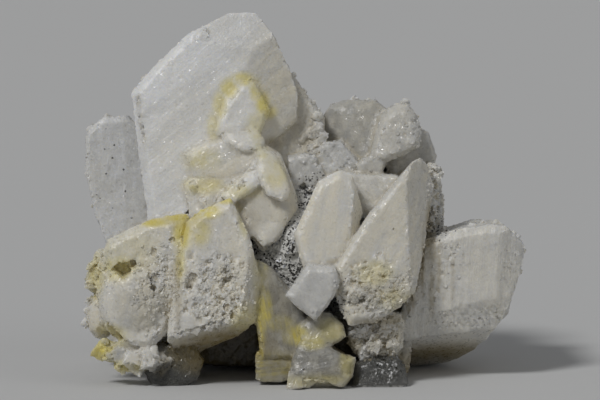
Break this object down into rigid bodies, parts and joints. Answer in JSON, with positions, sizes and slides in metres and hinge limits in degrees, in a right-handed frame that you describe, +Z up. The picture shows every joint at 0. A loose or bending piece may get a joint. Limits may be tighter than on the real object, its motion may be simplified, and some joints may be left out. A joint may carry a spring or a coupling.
{
  "type": "white crystal cluster on galena and sphalerite ore",
  "caption": "Cabinet mineral specimen: blocky white crystals intergrown round a grey lump of galena and sphalerite ore, standing on its own base.",
  "frame": {"origin": "middle of the bounding box's bottom, on the plane that the specimen stands on", "axes": "+Z up, +X to the right of the front view, +Y away from the viewer: the front view looks along +Y"},
  "size_m": [0.149, 0.0986, 0.1199],
  "materials": {
    "white_crystal": "sugary, slightly translucent white crystal faces with cream and yellow stains",
    "ore": "rough grey ore, speckled with bright metallic and dark resinous grains"
  },
  "bodies": {
    "root": {"white_crystals": "white_crystal", "galena_sphalerite_ore": "ore"}
  },
  "joints": []
}
